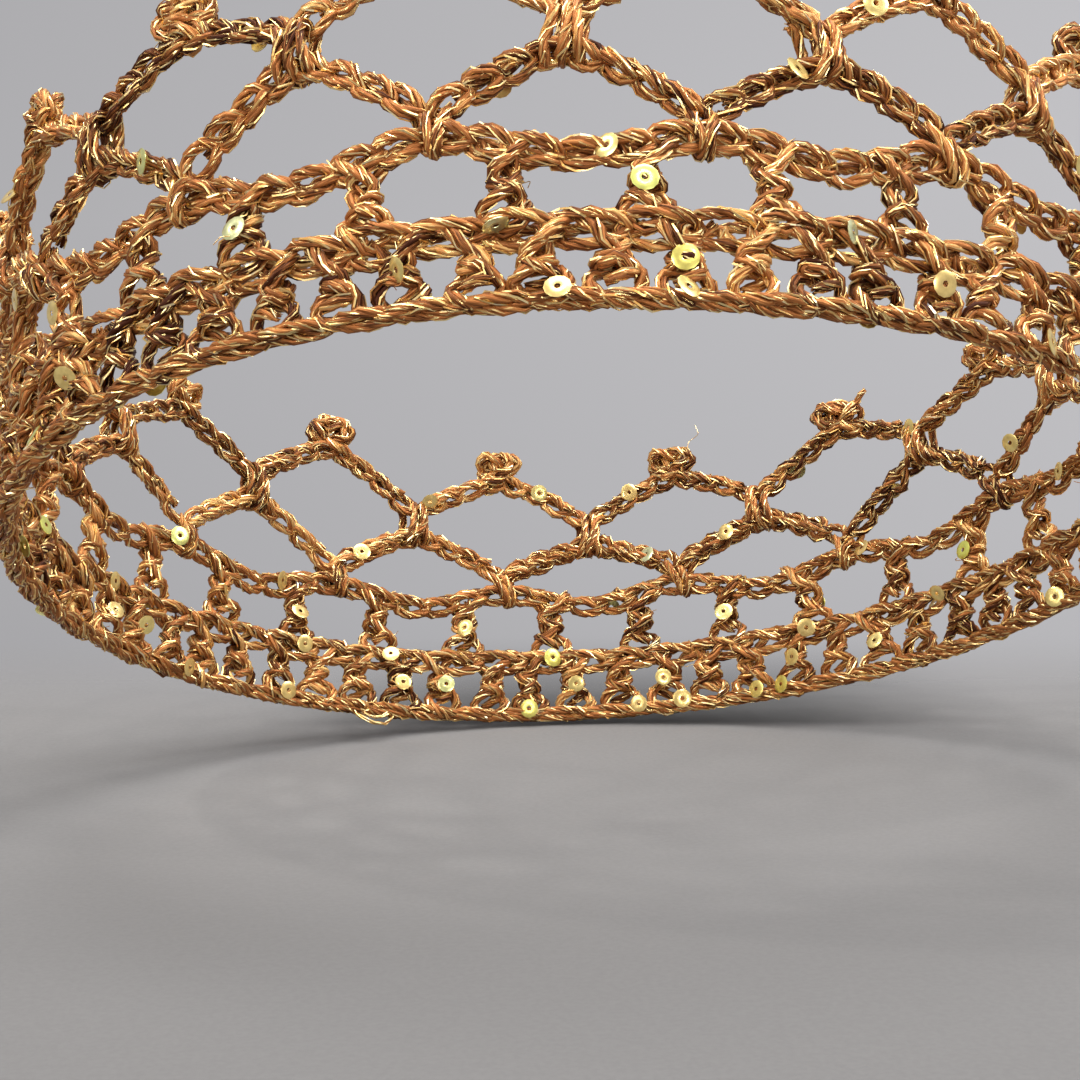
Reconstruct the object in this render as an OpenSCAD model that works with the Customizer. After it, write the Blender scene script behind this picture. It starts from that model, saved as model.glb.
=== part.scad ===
// Openwork crown crocheted in the round from one copper-brown metallic yarn with small strung sequins.
// The crown stands upright on its edge chain: +Z is up and the origin is the centre of that edge's underside.
// Places round the crown are given in arches, counted clockwise from above, from the first tall stitch.

/* [Crown] */
// Radius of the crown at the middle of its edge chain
ring_r = 78; // [62:1:95]
// How far the wall leans outwards for each millimetre of height
lean = 0.02; // [0:0.01:0.08]
// Number of arches round the crown
arches = 16; // [12:1:20]
// Turn of the first tall stitch about the crown's axis, in degrees
first_turn = 105; // [0:5:355]

/* [Rounds] */
// Height of the chain edge that tops round one
round_one_z = 11; // [10:0.5:14]
// Height of the chain edge that tops the mesh round
mesh_z = 22; // [19:0.5:24]
// Height at which the lower arches spring from the tall stitches
lower_foot_z = 27.5; // [25:0.5:28]
// Height of a lower arch at its middle
lower_top_z = 34; // [31:0.5:35]
// Height at which the upper arches spring from the saddle stitches
upper_foot_z = 40; // [38:0.5:40]
// Height of an upper arch at its middle
upper_top_z = 44; // [42:0.5:46]

/* [Yarn] */
// Thickness of a chain worked in the yarn
chain_d = 3; // [2.4:0.1:3.4]
// Thickness of the yarn itself
yarn_d = 1.3; // [1:0.1:1.5]
// Thickness of a double crochet post
post_d = 2.8; // [2.2:0.1:3.4]
// Outer size of a picot knot
picot_d = 7; // [6:0.2:9]
// How far the knee of an arch stands above a straight line from its foot to its middle
arch_bow = 0.6; // [0:0.1:1.2]

/* [Sequins] */
// Diameter of a sequin
sequin_d = 3; // [2.4:0.1:4]
// Thickness of a sequin
sequin_t = 0.25; // [0.2:0.05:0.4]
// Diameter of the hole in a sequin
sequin_hole = 0.7; // [0.5:0.1:1]

/* [Hidden] */
arch_turn = 360 / arches;
chain_r = chain_d / 2;
yarn_r = yarn_d / 2;
gap = 0.15;
// Flat strip under the edge chain, cut by letting the chain stand slightly into the ground
foot_sink = 0.25;
edge_z = chain_r - foot_sink;
posts_per_arch = 4;
mesh_posts_per_arch = 2;
// Ends of the arches stop this far, in arches, from the stitch that they spring from
foot_clear = 0.06;
apex_d = chain_d * 1.2;
wrap_clear = 0.5;
band_d = 1;
tail_arch = 2;
round_fn = 128;
tube_fn = 24;

// Beading charts: the quarter-arch stitch that carries each sequin, on the inside and on the outside
edge_inside = [0.4, 2.9, 3.9, 5.6, 6.2, 13.5, 20.4, 29.6, 41, 48.2, 55.9, 58.6];
edge_outside = [3.5, 11.4, 17.5, 26.5, 32.5, 34.3, 43.6, 51.5, 60.4];
posts_inside = [1.7, 3.6, 6.6, 8.6, 16.5, 24.4, 37.5, 46.4, 53.8, 54.7, 61.6, 63];
posts_outside = [5.4, 14.5, 21.4, 28.6, 32.7, 36.2, 42.5, 49.5, 57.6];
round_one_inside = [1, 6.9, 10.2, 18, 27.1, 39.8, 50.1, 53.5, 59.1, 61.2];
round_one_outside = [3.1, 9.8, 15.2, 23.1, 30, 35.1, 47, 55.2];
mesh_inside = [5, 11, 21, 31, 45, 57, 59, 63];
mesh_outside = [1, 7, 17, 25, 33, 39, 43, 51];
mesh_edge_inside = [8.4, 14.1, 26.2, 42.4, 55.6, 58.5];
mesh_edge_outside = [2.4, 12.1, 22.3, 33.5, 44.5, 52.2, 61.7];
lower_arch_inside = [3.3, 5.2, 12.7, 19.3, 35, 47.2, 60.6];
lower_arch_outside = [9.1, 16.8, 24.9, 30.6, 40.7, 51.2, 57.3];
upper_arch_inside = [0.9, 3, 9.9, 23, 38.8, 49.1, 62.3];
upper_arch_outside = [6.8, 15, 20.8, 29.2, 45.1, 54.9];

function numbered(stem, i) = str(stem, i < 9 ? "_0" : "_", i + 1);

// Radius of the wall at a height
function wall_r(z) = ring_r + lean * z;
// Turn of a place that is counted in arches
function turn_at(s) = first_turn - s * arch_turn;
// Point of the wall at a place and a height
function wall_point(s, z) = [wall_r(z) * cos(turn_at(s)), wall_r(z) * sin(turn_at(s)), z];
// Height of an arch chain at a stitch, rising and falling between its foot and its middle
function arch_z(stitch, foot, top, shift) =
    let (along = abs((stitch / posts_per_arch + shift) % 1 - 0.5) * 2)
    foot + (top - foot) * (1 - along);

// Puts its children at a place on the wall, with +X outwards
module at_wall(s, z, out = 0) {
    rotate([0, 0, turn_at(s)])
        translate([wall_r(z) + out, 0, z])
            children();
}

// A chain that runs all the way round
module ring_chain(z) {
    rotate_extrude($fn = round_fn)
        translate([wall_r(z), z])
            circle(d = chain_d, $fn = tube_fn);
}

// A double crochet post between two chains, with the band of its yarn-over
module post(s, low, high) {
    at_wall(s, low + gap) {
        cylinder(d = post_d, h = high - low - 2 * gap, $fn = tube_fn);
        translate([0, 0, (high - low) / 2])
            rotate_extrude($fn = tube_fn)
                translate([post_d / 2, 0])
                    circle(d = band_d, $fn = tube_fn);
    }
}

// A straight strand between two points
module strand(from, to, d) {
    run = to - from;
    flat = norm([run.x, run.y]);
    translate(from)
        rotate([0, 90 - atan2(run.z, flat), atan2(run.y, run.x)])
            cylinder(d = d, h = norm(run), $fn = tube_fn);
}

// A single crochet that loops round a chain of a given radius and carries the next chain above it
module wrap_stitch(s, low, high, held_r) {
    loop_r = held_r + yarn_r + gap;
    spread = 0.035;
    at_wall(s, low)
        rotate([90, 0, 0])
            rotate_extrude($fn = 48)
                translate([loop_r, 0])
                    circle(d = yarn_d, $fn = tube_fn);
    for (side = [-1, 1])
        strand(wall_point(s, low + loop_r), wall_point(s + side * spread, high - chain_r - gap), yarn_d);
}

// An arch of chain between two feet, with a knee halfway up each side and a knot at each bend
module chain_arch(middle, foot, top) {
    knee_z = (foot + top) / 2 + arch_bow;
    reach = 0.5 - foot_clear;
    places = [for (k = [-2:2]) middle + k * reach / 2];
    heights = [foot, knee_z, top, knee_z, foot];
    for (k = [0:3])
        strand(wall_point(places[k], heights[k]), wall_point(places[k + 1], heights[k + 1]), chain_d);
    for (k = [1:3])
        at_wall(places[k], heights[k])
            sphere(d = apex_d, $fn = tube_fn);
}

// A sequin lying on the wall's inside (-1) or outside (+1)
module sequin(stitch, z, side, stand) {
    at_wall(stitch / posts_per_arch, z, side * (stand + gap))
        rotate([0, 90 * side, 0])
            difference() {
                cylinder(d = sequin_d, h = sequin_t, $fn = 32);
                translate([0, 0, -sequin_t])
                    cylinder(d = sequin_hole, h = 3 * sequin_t, $fn = 16);
            }
}

module sequins_at(chart, z, side, stand) {
    for (stitch = chart)
        sequin(stitch, z, side, stand);
}

module arch_row_sequins(chart, foot, top, shift, side) {
    for (stitch = chart)
        sequin(stitch, arch_z(stitch, foot, top, shift), side, apex_d / 2);
}

module foundation_chain() {
    color("sienna")
        rotate_extrude($fn = round_fn)
            translate([ring_r, 0])
                intersection() {
                    translate([0, edge_z])
                        circle(d = chain_d, $fn = tube_fn);
                    translate([-chain_d, 0])
                        square([2 * chain_d, 2 * chain_d]);
                }
}

module round_one_stitches() {
    color("peru")
        for (i = [0:arches * posts_per_arch - 1])
            post((i + 0.5) / posts_per_arch, edge_z + chain_r, round_one_z - chain_r);
}

module round_one_edge() {
    color("sienna") ring_chain(round_one_z);
}

module mesh_posts() {
    color("peru")
        for (i = [0:arches * mesh_posts_per_arch - 1])
            post((i + 0.5) / mesh_posts_per_arch, round_one_z + chain_r, mesh_z - chain_r);
}

module mesh_edge() {
    color("sienna") ring_chain(mesh_z);
}

module tall_stitches() {
    color("peru")
        for (i = [0:arches - 1])
            wrap_stitch(i, mesh_z, lower_foot_z, chain_r);
}

module lower_arch(i) {
    color("chocolate") chain_arch(i + 0.5, lower_foot_z, lower_top_z);
}

module saddle_stitches() {
    color("peru")
        for (i = [0:arches - 1])
            wrap_stitch(i + 0.5, lower_top_z, upper_foot_z, chain_r + wrap_clear);
}

module upper_arch(i) {
    color("chocolate") chain_arch(i, upper_foot_z, upper_top_z);
}

module picot_knots() {
    tube_d = picot_d / 2 - yarn_r;
    color("sienna")
        for (i = [0:arches - 1])
            at_wall(i, upper_top_z + apex_d / 2 + gap + picot_d / 2)
                rotate([0, 90, 0])
                    rotate_extrude($fn = 48)
                        translate([(picot_d - tube_d) / 2, 0])
                            circle(d = tube_d, $fn = tube_fn);
}

module yarn_tail() {
    low = wall_point(tail_arch + 0.16, upper_top_z + picot_d * 0.7);
    high = wall_point(tail_arch + 0.32, upper_top_z + picot_d * 1.15);
    color("peru") strand(low, high, yarn_d);
}

module edge_sequins() {
    color("gold") {
        sequins_at(edge_inside, edge_z + yarn_r, -1, chain_r);
        sequins_at(edge_outside, edge_z + yarn_r, 1, chain_r);
    }
}

module round_one_sequins() {
    post_z = (edge_z + round_one_z) / 2;
    stand = (post_d + band_d) / 2;
    color("gold") {
        sequins_at(posts_inside, post_z, -1, stand);
        sequins_at(posts_outside, post_z, 1, stand);
        sequins_at(round_one_inside, round_one_z, -1, chain_r);
        sequins_at(round_one_outside, round_one_z, 1, chain_r);
    }
}

module mesh_sequins() {
    post_z = (round_one_z + mesh_z) / 2;
    stand = (post_d + band_d) / 2;
    color("gold") {
        sequins_at(mesh_inside, post_z, -1, stand);
        sequins_at(mesh_outside, post_z, 1, stand);
        sequins_at(mesh_edge_inside, mesh_z, -1, chain_r);
        sequins_at(mesh_edge_outside, mesh_z, 1, chain_r);
    }
}

module arch_sequins() {
    color("gold") {
        arch_row_sequins(lower_arch_inside, lower_foot_z, lower_top_z, 0, -1);
        arch_row_sequins(lower_arch_outside, lower_foot_z, lower_top_z, 0, 1);
        arch_row_sequins(upper_arch_inside, upper_foot_z, upper_top_z, 0.5, -1);
        arch_row_sequins(upper_arch_outside, upper_foot_z, upper_top_z, 0.5, 1);
    }
}

foundation_chain();
round_one_stitches();
round_one_edge();
mesh_posts();
mesh_edge();
tall_stitches();
saddle_stitches();
picot_knots();
yarn_tail();
for (i = [0:arches - 1]) {
    lower_arch(i);
    upper_arch(i);
}
edge_sequins();
round_one_sequins();
mesh_sequins();
arch_sequins();
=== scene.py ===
"""Crocheted crown: the yarn, stitches and sequins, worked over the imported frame."""

import math

import bpy
import numpy as np
from mathutils import Matrix, Vector


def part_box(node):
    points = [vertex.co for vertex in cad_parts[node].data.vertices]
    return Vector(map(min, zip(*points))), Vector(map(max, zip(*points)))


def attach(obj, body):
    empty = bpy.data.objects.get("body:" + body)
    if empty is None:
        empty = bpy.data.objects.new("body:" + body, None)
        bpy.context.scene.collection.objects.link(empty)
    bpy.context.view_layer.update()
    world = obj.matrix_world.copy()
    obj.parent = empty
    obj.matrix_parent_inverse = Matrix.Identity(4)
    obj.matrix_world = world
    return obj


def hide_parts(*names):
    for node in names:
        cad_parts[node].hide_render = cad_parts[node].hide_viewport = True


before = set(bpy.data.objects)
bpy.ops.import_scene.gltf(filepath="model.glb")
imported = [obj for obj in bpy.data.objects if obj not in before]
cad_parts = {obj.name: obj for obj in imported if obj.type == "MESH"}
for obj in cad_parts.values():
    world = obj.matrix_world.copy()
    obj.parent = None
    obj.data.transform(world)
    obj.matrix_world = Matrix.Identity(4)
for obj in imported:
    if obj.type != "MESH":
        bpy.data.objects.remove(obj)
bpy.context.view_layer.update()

bl_info = {
    "name": "Crocheted Crown",
    "version": (1, 0, 0),
    "blender": (4, 5, 0),
    "location": "View3D > Sidebar > Crown",
    "description": "Works a crown in twisted metallic yarn, round by round, and sews on its sequins",
    "category": "Add Mesh",
}

MM = 0.001
TAU = 2 * math.pi
ARCHES = sum(1 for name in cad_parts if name.startswith("lower_arch_"))
POSTS_PER_ARCH = 4
MESH_POSTS_PER_ARCH = 2
MESH_LOOPS_PER_ARCH = 6
ARCH_LOOPS = 8
PICOT_LOOPS = 4
PLIES = 4
PLY_SIDES = 6
GLINTS = 3
GLINT_SIDES = 4
FRAY_R = 0.055
SEQUIN_R = 1.5
SEQUIN_WALL = 0.1


def middle_height(node):
    """Height of the middle of a CAD node, in millimetres."""
    low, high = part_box(node)
    return (low.z + high.z) / 2 / MM


def first_turn_of_frame():
    """Turn of the first tall stitch, half an arch before the middle of the first lower arch."""
    low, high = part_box("lower_arch_01")
    centre = (low + high) / 2
    return math.degrees(math.atan2(centre.y, centre.x)) + 180 / ARCHES


CHAIN_R = 1.5
RING_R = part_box("foundation_chain")[1].x / MM - CHAIN_R
FIRST_TURN = first_turn_of_frame()
LEAN = 0.02
EDGE_Z = 1.25
ROUND_ONE_Z = middle_height("round_one_edge")
MESH_Z = middle_height("mesh_edge")
LOWER_FOOT_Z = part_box("lower_arch_01")[0].z / MM + CHAIN_R
LOWER_TOP_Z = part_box("lower_arch_01")[1].z / MM - 1.2 * CHAIN_R
UPPER_FOOT_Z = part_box("upper_arch_01")[0].z / MM + CHAIN_R
UPPER_TOP_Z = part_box("upper_arch_01")[1].z / MM - 1.2 * CHAIN_R

# How much higher or lower the peaks, the lower arches, the tall stitches and the first two chain edges
# came out under the hand, arch by arch, in millimetres
PEAK_LIFT = [-0.8, -2.0, 1.0, 0.4, -1.0, 0.6, 1.2, -0.8, -0.4, 1.0, -1.2, 0.5, 0.9, -0.7, 1.4, 3.4]
ARCH_LIFT = [-2.4, -1.0, 2.6, 0.8, -0.6, 0.5, -0.9, -2.4, -0.9, 1.3, 0.3, -0.8, 0.6, 1.4, 1.7, 0.0]
TALL_LIFT = [0.0, 0.1, -0.2, 0.3, 0.2, -0.5, -0.9, -1.2, -2.2, -0.4, -0.9, 1.4, 0.7, 0.2, 0.1, 0.0]
ROUND_LIFT = [0.1, 0.0, 0.1, 0.0, -0.2, -0.4, -0.7, -0.9, -0.9, -0.2, 0.5, 0.4, 0.2, 0.1, 0.0, 0.0]
EDGE_LIFT = [0.0, 0.0, 0.1, 0.2, 0.2, 0.1, 0.0, 0.0, 0.1, 0.8, 1.4, 1.0, 0.4, 0.1, 0.0, 0.0]


class CrownYarn(bpy.types.PropertyGroup):
    """Sizes of the yarn and of the stitches worked in it."""

    ply_d: bpy.props.FloatProperty(
        name="Ply", description="Thickness of one ply, in millimetres", default=0.70, min=0.4, max=1.0)
    ply_offset: bpy.props.FloatProperty(
        name="Ply offset", description="How far each ply lies from the middle of the yarn, in millimetres",
        default=0.42)
    ply_pitch: bpy.props.FloatProperty(
        name="Twist", description="Length of one twist of the plies, in millimetres", default=9.0)
    glint_d: bpy.props.FloatProperty(
        name="Metal thread", description="Thickness of the metal thread, in millimetres", default=0.32)
    glint_pitch: bpy.props.FloatProperty(
        name="Metal twist", description="Length of one turn of the metal thread, in millimetres", default=7.5)
    longest_step: bpy.props.FloatProperty(
        name="Longest step", description="Spacing of the points along straight yarn, in millimetres",
        default=1.1)
    sharpest_turn: bpy.props.FloatProperty(
        name="Sharpest turn", description="Most that the yarn turns between points", subtype="ANGLE",
        default=math.radians(35))
    wander: bpy.props.FloatProperty(
        name="Wander", description="How far the yarn strays from its path, in millimetres", default=0.14)


class CrownFinish(bpy.types.PropertyGroup):
    """Colours of the yarn, the metal thread and the sequins."""

    copper: bpy.props.FloatVectorProperty(
        name="Copper", description="Colour of the yarn's lit fibres", subtype="COLOR",
        default=(0.46, 0.165, 0.047))
    # Painted shade: the colour painted in the dark streaks between the fibres
    fibre_gap_shade: bpy.props.FloatVectorProperty(
        name="Rust", description="Colour between the fibres", subtype="COLOR", default=(0.042, 0.009, 0.002))
    straw: bpy.props.FloatVectorProperty(
        name="Straw", description="Colour of the palest fibres", subtype="COLOR", default=(0.72, 0.44, 0.16))
    gold: bpy.props.FloatVectorProperty(
        name="Gold", description="Colour of the metal thread", subtype="COLOR", default=(0.94, 0.71, 0.31))
    sequin: bpy.props.FloatVectorProperty(
        name="Sequin", description="Colour of the sequins", subtype="COLOR", default=(0.90, 0.74, 0.27))


class CrownStage(bpy.types.PropertyGroup):
    """The camera and the sheet that the crown's edge touches."""

    eye: bpy.props.FloatVectorProperty(
        name="Eye", description="Place of the camera", subtype="TRANSLATION",
        default=(0.0177, -0.2934, -0.1072))
    aim: bpy.props.FloatVectorProperty(
        name="Aim", description="Point that the camera looks at", subtype="TRANSLATION",
        default=(-0.0126, 0.0648, 0.0289))
    roll: bpy.props.FloatProperty(
        name="Roll", description="Turn of the camera about its line of sight", subtype="ANGLE",
        default=math.radians(-3.07))
    lens: bpy.props.FloatProperty(
        name="Lens", description="Focal length on a 36 mm frame", unit="CAMERA", default=75.7)
    slope: bpy.props.FloatProperty(
        name="Slope", description="Fall of the sheet from the far edge towards the camera", subtype="ANGLE",
        default=math.radians(27))
    tilt: bpy.props.FloatProperty(
        name="Tilt", description="Fall of the sheet from left to right", subtype="ANGLE",
        default=math.radians(4.5))
    fade: bpy.props.FloatProperty(
        name="Fade", description="How far behind the far edge the sheet melts into the room",
        subtype="DISTANCE", default=0.09)
    # Painted shadow: how much shadow is painted into the sheet behind the far edge
    painted_shadow: bpy.props.FloatProperty(
        name="Hollow", description="How much the sheet darkens in the hollow behind the far edge",
        subtype="FACTOR", default=0.70, min=0.0, max=1.0)
    grey: bpy.props.FloatVectorProperty(
        name="Grey", description="Colour of the sheet", subtype="COLOR", default=(0.158, 0.155, 0.155))


# ---------------------------------------------------------------- places on the wall

def wall(place, out, height):
    """Points on the crown's wall, in millimetres. place counts arches clockwise from tall stitch 0."""
    turn = np.radians(FIRST_TURN - np.asarray(place, float) * 360 / ARCHES)
    out_of_round = 0.9 * np.sin(2 * turn + 0.6) + 0.5 * np.sin(3 * turn + 2.0)
    radius = RING_R + LEAN * np.asarray(height, float) + out_of_round + out
    rise = np.asarray(height, float) * (1 + 0.012 * np.sin(5 * turn))
    return np.stack([radius * np.cos(turn), radius * np.sin(turn), rise], -1)


ARCH_RUN = TAU * RING_R / ARCHES


def catmull(points, closed, per_span=8):
    """A smooth line through the points."""
    p = np.asarray(points, float)
    if closed:
        p = np.concatenate([p[-1:], p, p[:2]])
    else:
        p = np.concatenate([2 * p[:1] - p[1:2], p, 2 * p[-1:] - p[-2:-1]])
    t = np.linspace(0, 1, per_span, endpoint=False)[:, None]
    spans = []
    for a, b, c, d in zip(p[:-3], p[1:-2], p[2:-1], p[3:]):
        bend = (2 * a - 5 * b + 4 * c - d) * t ** 2 + (3 * b - a - 3 * c + d) * t ** 3
        spans.append(0.5 * (2 * b + (c - a) * t + bend))
    line = np.concatenate(spans)
    return line if closed else np.concatenate([line, p[-2:-1]])


def spaced(line, closed):
    """The same line with its points closer together where it turns, and their distances along it."""
    sizes = bpy.context.scene.crown_yarn
    if closed:
        line = np.concatenate([line, line[:1]])
    edges = np.diff(line, axis=0)
    lengths = np.linalg.norm(edges, axis=1) + 1e-9
    headings = edges / lengths[:, None]
    turns = np.arccos(np.clip((headings[1:] * headings[:-1]).sum(1), -1, 1))
    turning = np.zeros(len(lengths))
    turning[:-1] += turns / 2
    turning[1:] += turns / 2
    turning = np.convolve(turning, np.ones(5) / 5, "same")
    cost = np.maximum(lengths / sizes.longest_step, turning / sizes.sharpest_turn)
    along = np.concatenate([[0], np.cumsum(lengths)])
    spent = np.concatenate([[0], np.cumsum(cost)])
    count = max(4, math.ceil(spent[-1]))
    stops = np.interp(np.linspace(0, spent[-1], count + 1), spent, along)
    stops = stops[:count] if closed else stops
    return np.stack([np.interp(stops, along, line[:, k]) for k in range(3)], -1), stops, along[-1]


def carried_frames(line, closed):
    """Tangents, and normals carried along the line without twisting."""
    if closed:
        tangent = np.roll(line, -1, 0) - np.roll(line, 1, 0)
    else:
        tangent = np.gradient(line, axis=0)
    tangent /= np.linalg.norm(tangent, axis=1)[:, None] + 1e-12
    normal = np.zeros_like(line)
    start = np.cross(tangent[0], [0.3, 0.2, 1.0])
    normal[0] = start / np.linalg.norm(start)
    for i in range(1, len(line)):
        n = normal[i - 1] - tangent[i] * np.dot(normal[i - 1], tangent[i])
        normal[i] = n / (np.linalg.norm(n) + 1e-12)
    return tangent, normal, np.cross(tangent, normal)


def across(angle, normal, binormal):
    """Directions at right angles to the line, at each angle round it."""
    return np.cos(angle)[:, None] * normal + np.sin(angle)[:, None] * binormal


# ---------------------------------------------------------------- yarn

class Yarn:
    """Collects the paths of one piece of work and spins them into plies and metal thread."""

    def __init__(self, seed):
        self.random = np.random.default_rng(seed)
        self.plies = []
        self.glints = []

    def lay(self, points, closed=False, thin=1.0):
        """Lays the yarn along points given in millimetres."""
        sizes = bpy.context.scene.crown_yarn
        line, along, length = spaced(catmull(points, closed), closed)
        line = line + self.stray(along, length, sizes.wander, closed)
        _, normal, binormal = carried_frames(line, closed)
        start = self.random.uniform(0, TAU)
        tone = self.random.normal(0, 0.5)
        ends = np.ones(len(line))
        if not closed:
            ends[[0, -1]] = 0.55
        turns = self.turns(length, sizes.ply_pitch, closed)
        loose = 1 + 0.10 * np.sin(TAU * along / 23 + start)
        for k in range(PLIES):
            angle = start + TAU * (k / PLIES + turns * along / length)
            angle = angle + 0.35 * np.sin(TAU * along / 6.1 + k * 2.2)
            offset = sizes.ply_offset * thin * loose
            offset = offset * (1 + 0.16 * np.sin(TAU * along / 9.0 + k * 1.4 + start))
            ply = line + offset[:, None] * across(angle, normal, binormal)
            radius = ends * sizes.ply_d / 2 * thin * (1 + 0.14 * np.sin(TAU * along / 5.3 + k * 1.9 + start))
            self.plies.append((ply, radius, along, closed, tone + self.random.normal(0, 0.6)))
        turns = self.turns(length, sizes.glint_pitch, closed)
        for k in range(GLINTS):
            angle = start + 1.1 + TAU * (k * 0.37 + turns * along / length)
            angle = angle + 0.6 * np.sin(TAU * along / 8.3 + k)
            offset = (sizes.ply_offset + sizes.ply_d * 0.40) * thin * loose
            offset = offset * (1 + 0.13 * np.sin(TAU * along / 3.7 + k * 2.0 + start))
            thread = line + offset[:, None] * across(angle, normal, binormal)
            radius = ends * sizes.glint_d / 2 * (1.0, 0.75, 0.6)[k]
            self.glints.append((thread, radius, along, closed, self.random.uniform(0, 1)))

    def turns(self, length, pitch, closed):
        """How many turns a strand makes, a whole number on a closed line."""
        return max(1, round(length / pitch)) if closed else length / pitch

    def stray(self, along, length, reach, closed):
        """A smooth random wandering, the same at both ends of a closed line."""
        shift = np.zeros((len(along), 3))
        for wave in (2.6, 5.5, 11.0):
            turns = self.turns(length, wave, closed)
            for axis in range(3):
                shift[:, axis] += np.sin(TAU * turns * along / length + self.random.uniform(0, TAU)) / 3
        return shift * reach

    def fray(self, place, height):
        """One loose fibre that stands off the yarn in a small curl."""
        steps = np.cumsum(self.random.normal(0, 0.5, (5, 3)), axis=0)
        steps += np.linspace(0, 1, 5)[:, None] * self.random.normal(0, 1.2, 3)
        out = self.random.choice((-1.2, 1.2))
        points = wall(place + steps[:, 0] / ARCH_RUN, out + steps[:, 1], height + steps[:, 2])
        line, along, _ = spaced(catmull(points, False), False)
        strands = self.glints if self.random.random() < 0.5 else self.plies
        strands.append((line, np.full(len(line), FRAY_R), along, False, self.random.normal(0, 1)))


def draw_strands(strands, sides, flat_sided, name):
    """Draws the strands as one bevelled curve made a mesh, with the run of the fibres marked on it."""
    bpy.ops.object.select_all(action="DESELECT")
    bpy.ops.curve.primitive_nurbs_path_add(location=(0, 0, 0))
    work = bpy.context.object
    work.name = name
    curve = work.data
    curve.splines.clear()
    for line, radius, _, closed, _ in strands:
        spline = curve.splines.new("POLY")
        spline.points.add(len(line) - 1)
        homogeneous = np.concatenate([line * MM, np.ones((len(line), 1))], 1)
        spline.points.foreach_set("co", homogeneous.astype(np.float32).ravel())
        spline.points.foreach_set("radius", radius.astype(np.float32))
        spline.use_cyclic_u = closed
        spline.use_smooth = not flat_sided
    curve.dimensions = "3D"
    curve.twist_mode = "MINIMUM"
    curve.bevel_depth = MM
    curve.bevel_resolution = (sides - 4) // 2
    curve.use_fill_caps = False
    bpy.ops.object.convert(target="MESH")
    work = bpy.context.object
    mark_fibres(work.data, strands, sides)
    bpy.ops.object.mode_set(mode="EDIT")
    bpy.ops.mesh.select_all(action="SELECT")
    bpy.ops.mesh.fill_holes(sides=sides)
    bpy.ops.object.mode_set(mode="OBJECT")
    return work


def mark_fibres(mesh, strands, sides):
    """Gives each point its place round and along its strand, and its strand's tone."""
    turn = TAU * np.arange(sides) / sides
    rows, tones = [], []
    for line, _, along, _, tone in strands:
        ring = np.zeros((len(line), sides, 3))
        ring[..., 0] = np.cos(turn)[None] + 7.3 * tone
        ring[..., 1] = np.sin(turn)[None]
        ring[..., 2] = along[:, None]
        rows.append(ring.reshape(-1, 3))
        tones.append(np.full(len(line) * sides, tone))
    fibre = mesh.attributes.new("fibre", "FLOAT_VECTOR", "POINT")
    fibre.data.foreach_set("vector", np.concatenate(rows).astype(np.float32).ravel())
    shade = mesh.attributes.new("tone", "FLOAT", "POINT")
    shade.data.foreach_set("value", np.concatenate(tones).astype(np.float32))


def finish_yarn(yarn, name, *nodes):
    """Makes the piece of work that stands for some CAD nodes."""
    plies = draw_strands(yarn.plies, PLY_SIDES, False, name)
    plies.data.materials.append(bpy.data.materials["copper_fibre"])
    glints = draw_strands(yarn.glints, GLINT_SIDES, True, name + "_metal")
    glints.data.materials.append(bpy.data.materials["gold_thread"])
    bpy.ops.object.select_all(action="DESELECT")
    glints.select_set(True)
    plies.select_set(True)
    bpy.context.view_layer.objects.active = plies
    bpy.ops.object.join()
    plies.name = name
    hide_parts(*nodes)
    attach(plies, "root")


# ---------------------------------------------------------------- stitches

CHAIN_LOOP = (
    (0.05, -0.10, -0.7), (0.20, 0.35, 0.2), (0.42, 0.75, 0.75), (0.85, 1.0, 0.45), (1.17, 0.72, -0.05),
    (1.31, 0.0, -0.15), (1.17, -0.72, -0.05), (0.85, -1.0, 0.45), (0.42, -0.75, 0.75), (0.20, -0.35, 0.2),
    (0.15, 0.10, -0.8), (0.58, 0.25, -1.25),
)


def chain_points(path, loops, closed, random, half_width=1.0, half_depth=0.85, roll=0.0):
    """The yarn's way through a row of chain loops: up through the last loop, round the head, back and under.

    path gives places and heights along the row."""
    places, heights = path
    along = np.concatenate([[0], np.cumsum(np.hypot(np.diff(places) * ARCH_RUN, np.diff(heights)))])
    pitch = along[-1] / (loops if closed else loops + 0.3)
    shape = np.array(CHAIN_LOOP)
    forward, side, lift = [], [], []
    for k in range(loops):
        stretch = random.uniform(0.93, 1.07)
        fat = random.uniform(0.85, 1.12)
        forward.append((k + shape[:, 0] * stretch) * pitch)
        side.append(shape[:, 1] * half_width * fat)
        lift.append(shape[:, 2] * half_depth)
    jitter = random.normal(0, 0.09, (3, loops, len(shape)))
    forward = np.concatenate(forward) + jitter[0].ravel()
    side = np.concatenate(side) + jitter[1].ravel()
    lift = np.concatenate(lift) + jitter[2].ravel()
    sway = roll + 0.35 * np.sin(forward / 9.0 + random.uniform(0, TAU)) * (not closed)
    side, lift = side * np.cos(sway) - lift * np.sin(sway), side * np.sin(sway) + lift * np.cos(sway)
    forward = np.mod(forward, along[-1]) if closed else np.clip(forward, 0, along[-1])
    slope = np.interp(forward, along, np.arctan(np.gradient(heights) / (np.gradient(places) * ARCH_RUN)))
    place = np.interp(forward, along, places) - side * np.sin(slope) / ARCH_RUN
    height = np.interp(forward, along, heights) + side * np.cos(slope)
    return place, lift, height


def uneven(lifts, place):
    """A row's own unevenness, eased from arch to arch all the way round."""
    return np.interp(np.mod(place, ARCHES), np.arange(ARCHES + 1), lifts + lifts[:1])


def mesh_line(place):
    """Height of the mesh edge, pulled up where a tall stitch holds it."""
    return MESH_Z + 0.1 + 1.4 * np.cos(TAU * place) + uneven(TALL_LIFT, place)


def round_one_line(place):
    """Height of the edge of round one."""
    return ROUND_ONE_Z + uneven(ROUND_LIFT, place)


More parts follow.
